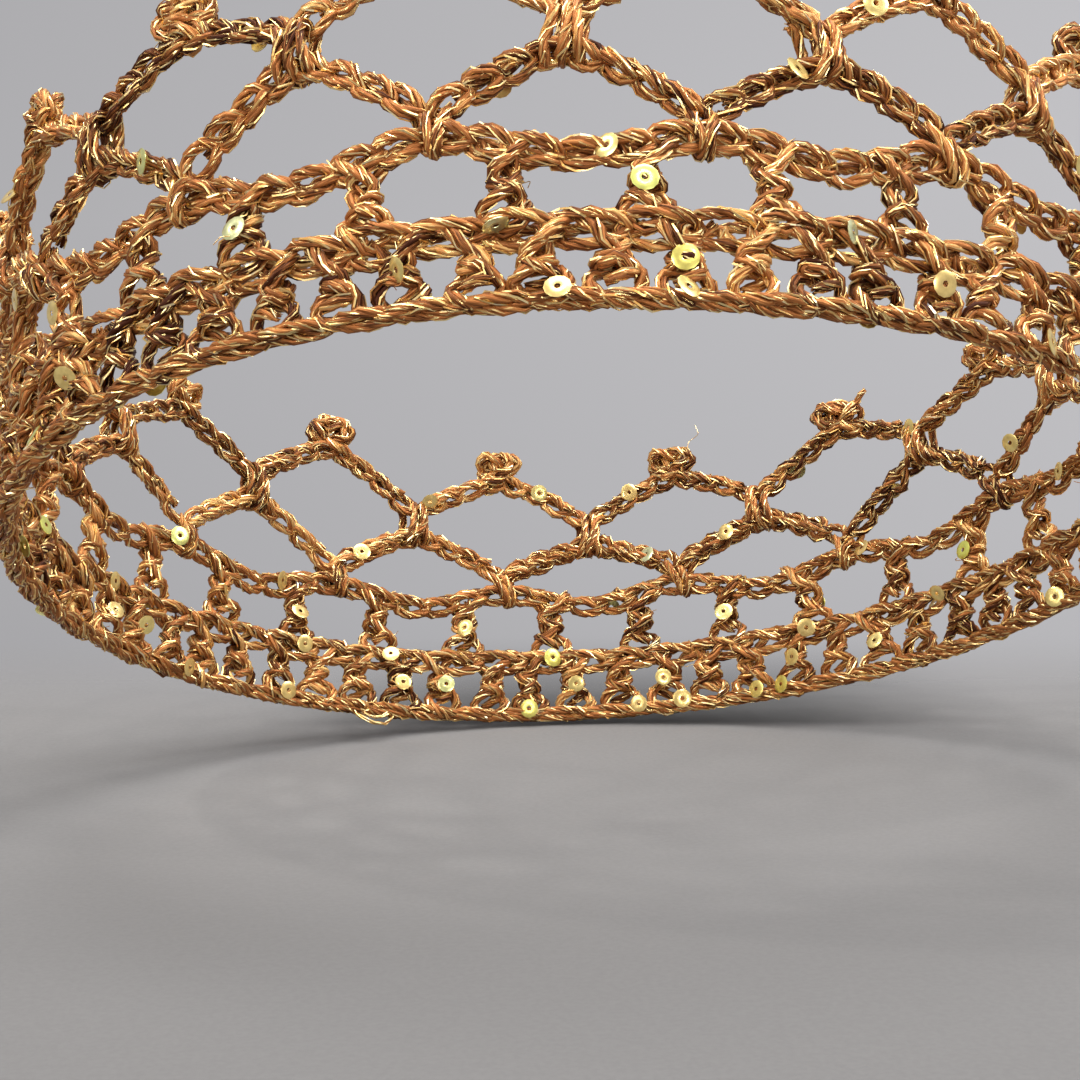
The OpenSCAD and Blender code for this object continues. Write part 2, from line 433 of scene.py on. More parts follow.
def edge_line(place):
    """Height of the middle of the edge chain's base stitches."""
    return EDGE_Z + uneven(EDGE_LIFT, place)


def round_row(heights_at, loops, seed, phase, **shape):
    """A chain that runs all the way round."""
    yarn = Yarn(seed)
    places = np.linspace(0, ARCHES, ARCHES * 24 + 1) + phase
    place, lift, height = chain_points((places, heights_at(places)), loops, True, yarn.random, **shape)
    yarn.lay(wall(place, lift, height), closed=True)
    return yarn


POST_PATH = (
    (-2.2, 0.3, "top", 0.9), (-1.5, 1.0, "top", -0.2), (-0.7, 1.1, "top", -1.9), (0.6, 0.6, "top", -3.3),
    (0.9, -0.4, "top", -4.3), (0.1, -0.9, "low", 4.5), (-1.3, -0.6, "low", 3.5), (-1.75, 0.1, "low", 2.2),
    (-1.3, 0.8, "low", 0.8), (0.0, 0.3, "low", -0.1), (1.3, -0.6, "low", 0.8), (1.8, -0.3, "low", 2.2),
    (1.3, 0.4, "low", 3.5), (0.2, 0.9, "low", 4.5), (-0.8, 0.4, "top", -4.2), (-0.8, -0.5, "top", -3.0),
    (0.3, -1.0, "top", -1.9), (1.4, -0.8, "top", -0.3), (2.3, -0.1, "top", 0.9),
)
BAND_PATH = (
    (-0.9, 0.8, 2.0), (0.3, 1.0, 2.9), (1.2, 0.2, 3.6), (0.5, -1.1, 4.2), (-0.8, -0.9, 4.7), (-1.0, 0.3, 5.3),
    (0.1, 0.9, 5.9), (0.9, 0.2, 7.0), (0.5, -0.5, 8.3), (0.2, -0.2, 9.6),
)


def work_post(yarn, place, low, high, random):
    """One double crochet: a loop round the chain below, its crossing legs and the band of its yarn-over."""
    flip = 1 if random.random() < 0.6 else -1
    turned = 1 if random.random() < 0.5 else -1
    lean = random.normal(0, 0.5)
    fat = random.uniform(1.34, 1.66)
    points = []
    for x, y, end, dz in POST_PATH:
        z = (high if end == "top" else low) + dz
        share = (z - low) / (high - low)
        jitter = random.normal(0, 0.16, 3)
        points.append((x * fat * flip + lean * share + jitter[0], y * turned + jitter[1], z + jitter[2]))
    lay_local(yarn, place, points, 1.08)
    points = []
    for x, y, dz in BAND_PATH:
        z = low + dz * (high - low) / 9.7
        jitter = random.normal(0, 0.18, 3)
        points.append((x * fat * flip + lean * dz / 9 + jitter[0], y * turned + jitter[1], z + jitter[2]))
    lay_local(yarn, place, points, 0.92)


WRAP_PATH = (
    (-3.2, -0.2, "top", 0.5), (-2.1, -1.0, "top", 0.4), (-1.3, -1.8, "top", -1.2), (-1.8, -1.7, "low", 0.0),
    (-1.9, -0.3, "low", -1.4), (-1.6, 1.4, "low", -1.0), (-1.0, 1.9, "low", 0.8), (-0.4, 1.4, "top", -0.8),
    (-0.5, 0.3, "top", 0.9), (0.4, -1.2, "top", 0.5), (0.6, -2.0, "top", -1.3), (0.0, -1.8, "low", -0.2),
    (-0.3, 0.0, "low", -1.5), (-0.2, 1.8, "low", -0.9), (0.7, 2.1, "low", 0.9), (1.3, 1.5, "top", -0.5),
    (1.2, 0.0, "top", 0.9), (1.0, -1.6, "top", -0.5), (1.5, -2.0, "low", 0.5), (1.9, -0.4, "low", -1.3),
    (1.7, 1.3, "low", -1.1), (1.2, 1.9, "low", 0.6), (1.8, 1.2, "top", -0.4), (3.2, 0.1, "top", 0.6),
)
LEG_PATH = (
    (-2.6, 0.6, "top", 0.8), (-1.7, 1.3, "top", -0.5), (-0.9, 1.7, "top", -2.2), (-0.1, 1.4, "low", -0.6),
    (0.4, 0.4, "low", -2.0), (0.5, -0.9, "low", -1.7), (0.1, -1.6, "low", 0.0), (-0.6, -1.3, "low", 1.8),
    (-0.9, -0.2, "top", -1.2), (-0.1, 1.1, "top", -0.8), (0.9, 1.4, "top", -2.0), (1.2, 1.1, "low", -0.5),
    (1.2, -0.1, "low", -1.9), (1.1, -1.3, "low", -0.8), (1.3, -1.3, "top", -2.0), (1.6, -0.8, "top", -0.4),
    (2.6, -0.2, "top", 0.6),
)


def work_wrap(yarn, place, low, high, path, random):
    """One stitch looped right round the chain that it holds."""
    flip = 1 if random.random() < 0.6 else -1
    turned = 1 if random.random() < 0.5 else -1
    skew = random.normal(0, 0.4)
    points = []
    for x, y, end, dz in path:
        z = (high if end == "top" else low) + dz
        share = (z - low) / (high - low)
        jitter = random.normal(0, 0.15, 3)
        points.append((x * flip + skew * share + jitter[0], y * turned + jitter[1], z + jitter[2]))
    lay_local(yarn, place, points, 0.92)


def lay_local(yarn, place, points, thin=1.0):
    """Lays yarn through points given along, out from and up the wall, at a place on it."""
    p = np.array(points)
    yarn.lay(wall(place + p[:, 0] / ARCH_RUN, p[:, 1], p[:, 2]), thin=thin)


def arch_heights(u, foot, top):
    """Height across an arch, from foot to foot as u goes from -1 to 1."""
    return top - (top - foot) * np.abs(u) ** 1.25


def arch_piece(middle, foot_a, foot_b, top, loops, seed):
    """A chain that springs from one stitch and lands on the next."""
    yarn = Yarn(seed)
    u = np.linspace(-1, 1, 41)
    foot = np.where(u < 0, foot_a, foot_b)
    heights = arch_heights(u, foot, top)
    places = middle + u * 0.49
    roll = yarn.random.normal(0, 0.3)
    place, lift, height = chain_points((places, heights), loops, False, yarn.random, 1.3, 0.85, roll)
    yarn.lay(wall(place, lift, height), thin=0.97)
    return yarn


def lower_top(i):
    """Height of lower arch i at its middle."""
    return LOWER_TOP_Z + ARCH_LIFT[i % ARCHES]


def lower_foot(i):
    """Height at which the lower arches spring from tall stitch i."""
    return float(mesh_line(i % ARCHES)) + 3.1


def upper_foot(i):
    """Height at which the upper arches spring from the saddle stitch on lower arch i."""
    return lower_top(i) + UPPER_FOOT_Z - LOWER_TOP_Z - 1.5


def upper_top(i):
    """Height of upper arch i under its picot."""
    return UPPER_TOP_Z + 1.3 + PEAK_LIFT[i % ARCHES]


# ---------------------------------------------------------------- pieces

LOOSE_LOOP = (
    (-3.6, -0.6, 0.9), (-2.6, -1.6, -0.6), (-0.4, -2.0, -1.4), (2.0, -1.8, -1.2), (3.2, -1.2, 0.2),
    (2.2, -2.0, 0.5), (0.4, -2.2, -0.5), (-1.4, -1.6, -0.2), (-2.0, -0.6, 1.0),
)


def build_foundation():
    """The edge chain, with the one loose loop that hangs from it."""
    yarn = round_row(lambda p: edge_line(p) + 0.35, ARCHES * POSTS_PER_ARCH, 11, 0.125,
                     half_width=0.9, half_depth=0.5, roll=-1.35)
    lay_local(yarn, 15.2, LOOSE_LOOP, 0.28)
    finish_yarn(yarn, "foundation_chain_yarn", "foundation_chain")


def build_round_one():
    """The posts of round one."""
    for half, name in enumerate(("round_one_posts_a", "round_one_posts_b")):
        yarn = Yarn(21 + half)
        for i in range(half, ARCHES * POSTS_PER_ARCH, 2):
            place = (i + 0.5) / POSTS_PER_ARCH
            work_post(yarn, place, float(edge_line(place)), float(round_one_line(place)), yarn.random)
            yarn.fray(place, yarn.random.uniform(2.5, 10))
        finish_yarn(yarn, name, "round_one_stitches")


def build_round_one_edge():
    """The chain edge along the top of round one."""
    yarn = round_row(round_one_line, ARCHES * POSTS_PER_ARCH, 31, 0.02,
                     half_width=1.85, half_depth=1.05, roll=0.4)
    finish_yarn(yarn, "round_one_edge_yarn", "round_one_edge")


def build_mesh_posts():
    """The posts of the open mesh."""
    yarn = Yarn(41)
    for i in range(ARCHES * MESH_POSTS_PER_ARCH):
        place = (i + 0.5) / MESH_POSTS_PER_ARCH
        work_post(yarn, place, float(round_one_line(place)), float(mesh_line(place)), yarn.random)
        yarn.fray(place, yarn.random.uniform(13, 20))
    finish_yarn(yarn, "mesh_posts_yarn", "mesh_posts")


def build_mesh_edge():
    """The chain edge along the top of the mesh."""
    yarn = round_row(mesh_line, ARCHES * MESH_LOOPS_PER_ARCH, 51, 0.0,
                     half_width=1.55, half_depth=0.95, roll=0.3)
    finish_yarn(yarn, "mesh_edge_yarn", "mesh_edge")


def build_tall_stitches():
    """The stitches that the lower arches spring from."""
    yarn = Yarn(61)
    for i in range(ARCHES):
        work_wrap(yarn, i, float(mesh_line(i)), lower_foot(i), LEG_PATH, yarn.random)
    finish_yarn(yarn, "tall_stitches_yarn", "tall_stitches")


def build_saddle_stitches():
    """The stitches that ride on the lower arches and carry the upper ones."""
    yarn = Yarn(71)
    for i in range(ARCHES):
        work_wrap(yarn, i + 0.5, lower_top(i), upper_foot(i), WRAP_PATH, yarn.random)
        yarn.fray(i + 0.5 + yarn.random.uniform(-0.1, 0.1), lower_top(i) + 2)
    finish_yarn(yarn, "saddle_stitches_yarn", "saddle_stitches")


def build_lower_arches():
    """The lower arches of chain."""
    for i in range(ARCHES):
        yarn = arch_piece(i + 0.5, lower_foot(i), lower_foot(i + 1), lower_top(i), ARCH_LOOPS, 100 + i)
        name = f"lower_arch_{i + 1:02d}"
        finish_yarn(yarn, name + "_yarn", name)


def build_upper_arches():
    """The upper arches of chain."""
    for i in range(ARCHES):
        yarn = arch_piece(i, upper_foot(i - 1), upper_foot(i), upper_top(i), ARCH_LOOPS, 200 + i)
        name = f"upper_arch_{i + 1:02d}"
        finish_yarn(yarn, name + "_yarn", name)


PICOT_FOOT = (
    (-2.6, 0.3, -1.2), (-1.5, 1.2, 0.0), (-0.2, 1.6, 0.9), (1.2, 0.9, 0.9), (1.9, -0.4, 0.0),
    (0.9, -1.6, -0.6), (-0.6, -1.5, 0.3), (-1.4, -0.2, 1.6), (-0.4, 1.2, 2.3), (1.0, 1.2, 1.9),
    (2.1, 0.2, 1.2), (2.5, -0.4, -0.8),
)
PICOT_HEART = (
    (-0.6, -0.6, 0.8), (-2.2, -1.2, 2.2), (-3.4, -0.6, 3.6), (-2.6, 0.9, 4.6), (-0.9, 1.5, 3.4),
    (0.6, 1.4, 2.4), (2.4, 0.8, 2.4), (3.5, -0.2, 3.8), (2.4, -1.2, 5.0), (0.6, -1.5, 3.8),
    (-0.7, -0.9, 3.0), (-0.9, 0.6, 4.6), (0.3, 1.2, 5.6), (1.3, 0.3, 4.4), (0.6, -0.6, 2.2),
    (0.2, 0.2, 0.6),
)


def build_picots():
    """The picot knots: a short chain closed on itself and drawn down to the peak, where a stitch binds it."""
    yarn = Yarn(81)
    random = yarn.random
    shape = np.array(CHAIN_LOOP)
    for i in range(ARCHES):
        half_span, half_rise = random.uniform(2.6, 3.3), random.uniform(1.6, 2.1)
        turn = random.uniform(-0.8, 0.8)
        centre = upper_top(i) + half_rise + 1.0
        around = TAU * np.concatenate([(k + shape[:, 0] * 1.05) / PICOT_LOOPS for k in range(PICOT_LOOPS)])
        side = np.tile(shape[:, 1] * 0.85, PICOT_LOOPS)
        lift = np.tile(shape[:, 2] * 0.95, PICOT_LOOPS)
        x = (half_span + side) * np.sin(around)
        y = lift
        z = centre - (half_rise + side) * np.cos(around)
        x, y = x * math.cos(turn) + y * math.sin(turn), y * math.cos(turn) - x * math.sin(turn)
        jitter = random.normal(0, 0.2, (3, len(x)))
        yarn.lay(wall(i + (x + jitter[0]) / ARCH_RUN, y + jitter[1], z + jitter[2]), closed=True, thin=0.9)
        foot = upper_top(i)
        flip = 1 if random.random() < 0.5 else -1
        lay_local(yarn, i, [(a * flip, b, foot + c) for a, b, c in PICOT_FOOT], 0.9)
        lay_local(yarn, i, [(a * flip, b, foot + 0.95 * c) for a, b, c in PICOT_HEART], 0.85)
        for _ in range(3):
            yarn.fray(i + random.uniform(-0.08, 0.08), centre + random.uniform(-1.5, 2.0))
    finish_yarn(yarn, "picot_knots_yarn", "picot_knots")


def build_tail():
    """The cut end of the yarn beside one peak."""
    yarn = Yarn(91)
    top = upper_top(2)
    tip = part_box("yarn_tail")[1].z / MM - 0.4
    points = [(0.2, 0.3, top + 0.8), (1.6, 0.9, top + 2.0), (3.0, 0.6, top + 3.6), (4.4, 0.3, top + 5.2),
              (5.6, 0.2, tip)]
    lay_local(yarn, 2, points, 0.8)
    finish_yarn(yarn, "yarn_tail_end", "yarn_tail")


# ---------------------------------------------------------------- sequins

def sequin_spots(node):
    """Place, side and height of each sequin in a CAD node, found from its loose discs."""
    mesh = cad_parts[node].data
    points = np.empty(len(mesh.vertices) * 3, np.float32)
    mesh.vertices.foreach_get("co", points)
    left = points.reshape(-1, 3).astype(float) / MM
    spots = []
    while len(left):
        near = np.linalg.norm(left - left[0], axis=1) < 3.1
        x, y, z = left[near].mean(0)
        left = left[~near]
        place = (FIRST_TURN - math.degrees(math.atan2(y, x))) * ARCHES / 360 % ARCHES
        side = 1 if math.hypot(x, y) > RING_R + LEAN * z else -1
        spots.append((place, side, z))
    return spots


def nearest_stitch(place, height):
    """The place of the post that carries a sequin set between two chain edges, or the same place."""
    rounds = ((EDGE_Z, ROUND_ONE_Z, POSTS_PER_ARCH), (ROUND_ONE_Z, MESH_Z, MESH_POSTS_PER_ARCH))
    for low, high, count in rounds:
        if abs(height - (low + high) / 2) < (high - low) / 4:
            return (int(place * count) + 0.5) / count
    return place


def carried_height(place, height):
    """Height of the yarn here that carries a sequin set at a nominal height."""
    if height < (MESH_Z + LOWER_FOOT_Z) / 2:
        rows = [float(edge_line(place)) + 0.3, float(round_one_line(place)), float(mesh_line(place))]
        return float(np.interp(height, [EDGE_Z, ROUND_ONE_Z, MESH_Z], rows))
    if height < (LOWER_TOP_Z + UPPER_FOOT_Z) / 2:
        i = int(place)
        u = 2 * (place - i - 0.5)
        return float(arch_heights(u, lower_foot(i if u < 0 else i + 1), lower_top(i)))
    i = round(place)
    u = 2 * (place - i)
    return float(arch_heights(u, upper_foot(i - 1 if u < 0 else i), upper_top(i)))


def sequin_pattern():
    """One sequin: a thin cupped disc with a hole, raised in two rings."""
    bpy.ops.object.select_all(action="DESELECT")
    bpy.ops.mesh.primitive_circle_add(
        vertices=12, radius=SEQUIN_R * MM, fill_type="NOTHING", location=(0, 0, 0))
    disc = bpy.context.object
    disc.name = "sequin_pattern"
    bpy.ops.object.mode_set(mode="EDIT")
    for size, lift in ((0.68, 0.16 * MM), (0.36, -0.10 * MM)):
        bpy.ops.mesh.extrude_region()
        bpy.ops.transform.resize(value=(size, size, 1))
        bpy.ops.transform.translate(value=(0, 0, lift))
    bpy.ops.mesh.select_all(action="SELECT")
    bpy.ops.mesh.normals_make_consistent(inside=False)
    bpy.ops.object.mode_set(mode="OBJECT")
    solid = disc.modifiers.new("wall", "SOLIDIFY")
    solid.thickness = SEQUIN_WALL * MM
    solid.offset = 0
    bpy.ops.object.modifier_apply(modifier="wall")
    bpy.ops.object.shade_smooth_by_angle(angle=math.radians(35))
    return disc


def build_sequins():
    """The sequins, each lying against the yarn at its own tilt."""
    pattern = sequin_pattern()
    random = np.random.default_rng(301)
    for node in ("edge_sequins", "round_one_sequins", "mesh_sequins", "arch_sequins"):
        copies = []
        for spot_place, side, height in sequin_spots(node):
            spot_place = nearest_stitch(spot_place, height)
            stand = side * random.uniform(1.6, 2.2)
            spot = Vector(wall(spot_place, stand, carried_height(spot_place, height)) * MM)
            facing = side * Vector((spot.x, spot.y, 0)).normalized()
            tilt = Vector(random.normal(0, 0.34, 3))
            turn = (facing + tilt).normalized().to_track_quat("Z", "Y").to_matrix().to_4x4()
            place = Matrix.Translation(spot)
            copy = pattern.copy()
            copy.data = pattern.data.copy()
            bpy.context.collection.objects.link(copy)
            copy.data.transform(place @ turn @ Matrix.Scale(random.uniform(0.92, 1.06), 4))
            tint = copy.data.attributes.new("tint", "FLOAT", "POINT")
            tint.data.foreach_set("value", np.full(len(copy.data.vertices), random.random(), np.float32))
            copies.append(copy)
        bpy.ops.object.select_all(action="DESELECT")
        for copy in copies:
            copy.select_set(True)
        bpy.context.view_layer.objects.active = copies[0]
        bpy.ops.object.join()
        piece = bpy.context.object
        piece.name = node + "_film"
        piece.data.materials.clear()
        piece.data.materials.append(bpy.data.materials["sequin_film"])
        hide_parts(node)
        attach(piece, "root")
    bpy.data.objects.remove(pattern)


# ---------------------------------------------------------------- materials

def new_material(name):
    """The node tree and the shader of a new material."""
    material = bpy.data.materials.new(name)
    material.use_nodes = True
    nodes = material.node_tree.nodes
    nodes.clear()
    shader = nodes.new("ShaderNodeBsdfPrincipled")
    output = nodes.new("ShaderNodeOutputMaterial")
    material.node_tree.links.new(shader.outputs["BSDF"], output.inputs["Surface"])
    return material.node_tree, shader


def ramp(tree, source, stops):
    """A colour ramp with its stops."""
    node = tree.nodes.new("ShaderNodeValToRGB")
    node.color_ramp.elements[0].position = stops[0][0]
    node.color_ramp.elements[0].color = (*stops[0][1], 1)
    node.color_ramp.elements[1].position = stops[-1][0]
    node.color_ramp.elements[1].color = (*stops[-1][1], 1)
    for place, colour in stops[1:-1]:
        node.color_ramp.elements.new(place).color = (*colour, 1)
    tree.links.new(source, node.inputs["Fac"])
    return node


def noise(tree, vector, scale, stretch, detail=4.0):
    """A noise pattern stretched along the fibres."""
    mapping = tree.nodes.new("ShaderNodeMapping")
    mapping.inputs["Scale"].default_value = stretch
    tree.links.new(vector, mapping.inputs["Vector"])
    node = tree.nodes.new("ShaderNodeTexNoise")
    node.inputs["Scale"].default_value = scale
    node.inputs["Detail"].default_value = detail
    tree.links.new(mapping.outputs["Vector"], node.inputs["Vector"])
    return node.outputs["Fac"]


def attribute(tree, name, output):
    """An attribute of the mesh."""
    node = tree.nodes.new("ShaderNodeAttribute")
    node.attribute_name = name
    return node.outputs[output]


def scalar(tree, operation, a, b):
    """A sum on two sockets or numbers."""
    node = tree.nodes.new("ShaderNodeMath")
    node.operation = operation
    for slot, value in zip(node.inputs, (a, b)):
        if isinstance(value, (int, float)):
            slot.default_value = value
        else:
            tree.links.new(value, slot)
    return node.outputs[0]


def multiplied(tree, factor, first, second):
    """The first colour multiplied by the second, as far as the factor says."""
    mix = tree.nodes.new("ShaderNodeMix")
    mix.data_type = "RGBA"
    mix.blend_type = "MULTIPLY"
    mix.inputs["Factor"].default_value = factor
    tree.links.new(first, mix.inputs["A"])
    tree.links.new(second, mix.inputs["B"])
    return mix.outputs["Result"]


def raise_surface(tree, shader, pattern, strength, distance):
    """Raises the surface where the pattern is high, by a distance in millimetres."""
    bump = tree.nodes.new("ShaderNodeBump")
    bump.inputs["Strength"].default_value = strength
    bump.inputs["Distance"].default_value = distance * MM
    tree.links.new(pattern, bump.inputs["Height"])
    tree.links.new(bump.outputs["Normal"], shader.inputs["Normal"])


def make_copper_fibre(finish):
    """Copper-brown floss: fine fibres that run along each ply, some dark, some straw pale, some gilt, with
    painted shade in the darkest streaks between them.
    """
    tree, shader = new_material("copper_fibre")
    fibre = attribute(tree, "fibre", "Vector")
    streak = noise(tree, fibre, 2.6, (1.0, 1.0, 0.16))
    coarse = noise(tree, fibre, 0.9, (0.6, 0.6, 0.28), 2.0)
    dash = noise(tree, fibre, 1.5, (1.0, 1.0, 0.42), 1.0)
    tone = attribute(tree, "tone", "Fac")
    mixed = scalar(
        tree, "ADD", scalar(tree, "MULTIPLY", streak, 0.60), scalar(tree, "MULTIPLY", coarse, 0.40))
    shifted = scalar(tree, "ADD", mixed, scalar(tree, "MULTIPLY", tone, 0.11))
    dark, mid, pale = tuple(finish.fibre_gap_shade), tuple(finish.copper), tuple(finish.straw)
    # Painted shade: the gap colour and this darker copper are the ramp's two lowest stops, shade painted in
    # the streaks between the fibres
    shade = tuple(0.62 * c for c in mid)
    colour = ramp(tree, shifted, ((0.36, dark), (0.49, shade), (0.59, mid), (0.73, pale)))
    gilt = ramp(tree, dash, ((0.62, (0.0, 0.0, 0.0)), (0.66, (1.0, 1.0, 1.0))))
    mix = tree.nodes.new("ShaderNodeMix")
    mix.data_type = "RGBA"
    tree.links.new(gilt.outputs["Color"], mix.inputs["Factor"])
    tree.links.new(colour.outputs["Color"], mix.inputs["A"])
    mix.inputs["B"].default_value = (*finish.gold, 1)
    tree.links.new(mix.outputs["Result"], shader.inputs["Base Color"])
    worn = scalar(tree, "SUBTRACT", streak, scalar(tree, "MULTIPLY", gilt.outputs["Color"], 0.3))
    roughs = ((0.15, 0.24), (0.40, 0.52), (0.65, 0.34))
    gloss = ramp(tree, worn, [(place, (rough,) * 3) for place, rough in roughs])
    tree.links.new(gloss.outputs["Color"], shader.inputs["Roughness"])
    luster = scalar(tree, "ADD", scalar(tree, "MULTIPLY", gilt.outputs["Color"], 0.5), 0.5)
    tree.links.new(luster, shader.inputs["Metallic"])
    shader.inputs["Specular IOR Level"].default_value = 0.2
    raise_surface(tree, shader, streak, 0.7, 0.12)


def make_gold_thread(finish):
    """Metallised flat thread: bright, with its film paler or redder from stretch to stretch."""
    tree, shader = new_material("gold_thread")
    fibre = attribute(tree, "fibre", "Vector")
    wear = noise(tree, fibre, 0.8, (0.3, 0.3, 1.0), 2.0)
    gold = tuple(finish.gold)
    colour = ramp(tree, wear, ((0.35, (0.80, 0.44, 0.13)), (0.52, gold), (0.70, (0.98, 0.82, 0.52))))
    tree.links.new(colour.outputs["Color"], shader.inputs["Base Color"])
    gloss = ramp(tree, wear, ((0.3, (0.50, 0.50, 0.50)), (0.7, (0.28, 0.28, 0.28))))
    tree.links.new(gloss.outputs["Color"], shader.inputs["Roughness"])
    shader.inputs["Metallic"].default_value = 1.0


def make_sequin_film(finish):
    """Metallised film: pale gold for most, a few greenish or clear."""
    tree, shader = new_material("sequin_film")
    tint = attribute(tree, "tint", "Fac")
    base = tuple(finish.sequin)
    colour = ramp(tree, tint, (
        (0.0, base), (0.62, (0.92, 0.66, 0.24)), (0.80, (0.86, 0.86, 0.16)), (1.0, (0.74, 0.78, 0.52))))
    coords = tree.nodes.new("ShaderNodeTexCoord")
    speck = noise(tree, coords.outputs["Object"], 900.0, (1.0, 1.0, 1.0), 3.0)
    shadow = ramp(tree, speck, ((0.35, (0.55, 0.48, 0.36)), (0.6, (1.0, 1.0, 1.0))))
    speckled = multiplied(tree, 0.5, colour.outputs["Color"], shadow.outputs["Color"])
    tree.links.new(speckled, shader.inputs["Base Color"])
    shader.inputs["Metallic"].default_value = 0.75
    shader.inputs["Roughness"].default_value = 0.3
    shader.inputs["Coat Weight"].default_value = 0.6
    shader.inputs["Coat Roughness"].default_value = 0.08
    raise_surface(tree, shader, speck, 0.4, 0.05)


def ranged(tree, source, start, end, first, last):
    """A value that goes smoothly from first to last while the source goes from start to end."""
    node = tree.nodes.new("ShaderNodeMapRange")
    node.interpolation_type = "SMOOTHSTEP"
    for name, value in (("From Min", start), ("From Max", end), ("To Min", first), ("To Max", last)):
        node.inputs[name].default_value = value
    tree.links.new(source, node.inputs["Value"])
    return node.outputs["Result"]


def make_sheet(stage):
    """The grey cloth sheet: finely grained, with painted shade darker in front and a painted shadow behind
    the far edge, fading into the room.
    """
    tree, shader = new_material("stage_sheet")
    coords = tree.nodes.new("ShaderNodeTexCoord")
    grain = noise(tree, coords.outputs["Object"], 1400.0, (1.0, 1.0, 1.0), 2.0)
    grey = tuple(stage.grey)
    colour = ramp(tree, grain, ((0.3, tuple(0.95 * c for c in grey)), (0.7, tuple(1.04 * c for c in grey))))
    split = tree.nodes.new("ShaderNodeSeparateXYZ")
    tree.links.new(coords.outputs["Object"], split.inputs["Vector"])
    far = RING_R * MM
    # Painted shade: the sheet's colour darkens towards the camera
    light = ranged(tree, split.outputs["Y"], -1.2 * far, 0.6 * far, 0.80, 1.0)
    # Painted shadow: the crown's shadow painted into the sheet, darkest just behind the far edge and fading
    # to the sides
    behind = ranged(tree, split.outputs["Y"], far - 0.004, far + 0.002, 0.0, stage.painted_shadow)
    beside = ranged(tree, scalar(tree, "ABSOLUTE", split.outputs["X"], 0.0), 0.3 * far, 0.9 * far, 1.0, 0.0)
    light = scalar(tree, "SUBTRACT", light, scalar(tree, "MULTIPLY", behind, beside))
    shaded = multiplied(tree, 1.0, colour.outputs["Color"], light)
    tree.links.new(shaded, shader.inputs["Base Color"])
    away = tree.nodes.new("ShaderNodeVectorMath")
    away.operation = "LENGTH"
    tree.links.new(coords.outputs["Object"], away.inputs[0])
    around = ranged(tree, away.outputs["Value"], 2.4 * far, 5.0 * far, 1.0, 0.0)
    beyond = ranged(tree, split.outputs["Y"], far, far + stage.fade, 1.0, 0.0)
    tree.links.new(scalar(tree, "MULTIPLY", around, beyond), shader.inputs["Alpha"])
    shader.inputs["Roughness"].default_value = 0.9


# ---------------------------------------------------------------- stage

# How far the sheet reaches towards the camera and how far it lies under the far edge, in metres
SHEET_REACH = 0.5
SHEET_DROP = 0.0006


def build_sheet():
    """The sheet: it touches the far edge and falls away towards the camera."""
    stage = bpy.context.scene.crown_stage
    far = RING_R * MM
    bpy.ops.object.select_all(action="DESELECT")
    bpy.ops.mesh.primitive_plane_add(size=1)
    sheet = bpy.context.object
    sheet.name = "stage_sheet"
    for corner in sheet.data.vertices:
        along = corner.co.x
        back = far + stage.fade if corner.co.y > 0 else -SHEET_REACH
        rise = (back - far) * math.tan(stage.slope) - along * math.tan(stage.tilt)
        corner.co = (along, back, rise - SHEET_DROP)
    sheet.data.materials.append(bpy.data.materials["stage_sheet"])


def aim_at(item, target, roll=0.0):
    """Turns a camera or lamp to look at a point."""
    look = (Vector(target) - item.location).normalized()
    turn = look.to_track_quat("-Z", "Y").to_matrix().to_4x4() @ Matrix.Rotation(roll, 4, "Z")
    item.matrix_world = Matrix.Translation(item.location) @ turn


def build_camera():
    """The camera, low and looking up through the ring."""
    stage = bpy.context.scene.crown_stage
    bpy.ops.object.camera_add(location=stage.eye)
    camera = bpy.context.object
    camera.name = "crown_camera"
    camera.data.lens = stage.lens
    camera.data.sensor_width = 36
    camera.data.clip_start = 0.01
    aim_at(camera, stage.aim, stage.roll)
    bpy.context.scene.camera = camera


def build_lights():
    """Soft studio light: a key above, broad fills in front, and small lamps for the metal thread."""
    lamps = (
        ("key", (0.12, -0.30, 0.90), 0.75, 11.5, (1.0, 0.98, 0.95)),
        ("window", (0.75, -0.30, 0.45), 0.40, 4.5, (0.98, 0.99, 1.0)),
        ("front", (-0.45, -0.75, 0.10), 0.40, 4.6, (1.0, 0.97, 0.93)),
        ("low", (0.35, -0.60, -0.16), 0.12, 1.2, (1.0, 0.96, 0.90)),
        ("spark_right", (0.22, -0.70, 0.35), 0.03, 0.9, (1.0, 0.96, 0.90)),
        ("spark_left", (-0.40, -0.35, 0.45), 0.03, 0.9, (1.0, 0.97, 0.92)),
    )
    for name, place, size, power, colour in lamps:
        bpy.ops.object.light_add(type="AREA", location=place)
        lamp = bpy.context.object
        lamp.name = name + "_lamp"
        lamp.data.size = size
        lamp.data.energy = power
        lamp.data.color = colour
        aim_at(lamp, (0, 0, 0.02))


def build_surroundings():
    """The pale grey room: a little darker low down, bright overhead."""
    world = bpy.data.worlds.new("studio")
    bpy.context.scene.world = world
    world.use_nodes = True
    tree = world.node_tree
    coords = tree.nodes.new("ShaderNodeTexCoord")
    split = tree.nodes.new("ShaderNodeSeparateXYZ")
    tree.links.new(coords.outputs["Generated"], split.inputs["Vector"])
    shades = ((0.22, 0.41), (0.34, 0.48), (0.48, 0.51), (0.70, 0.47), (1.0, 0.78))
    sky = ramp(tree, split.outputs["Z"],
               [(height, (grey, 0.99 * grey, 1.015 * grey)) for height, grey in shades])
    shares = ((0.20, 0.84), (0.66, 1.06))
    side = ramp(tree, scalar(tree, "ADD", split.outputs["X"], 0.5),
                [(place, (share, share, 1.01 * share)) for place, share in shares])
    room = multiplied(tree, 1.0, sky.outputs["Color"], side.outputs["Color"])
    tree.links.new(room, tree.nodes["Background"].inputs["Color"])
    bpy.context.scene.view_settings.view_transform = "Standard"


# ---------------------------------------------------------------- operators

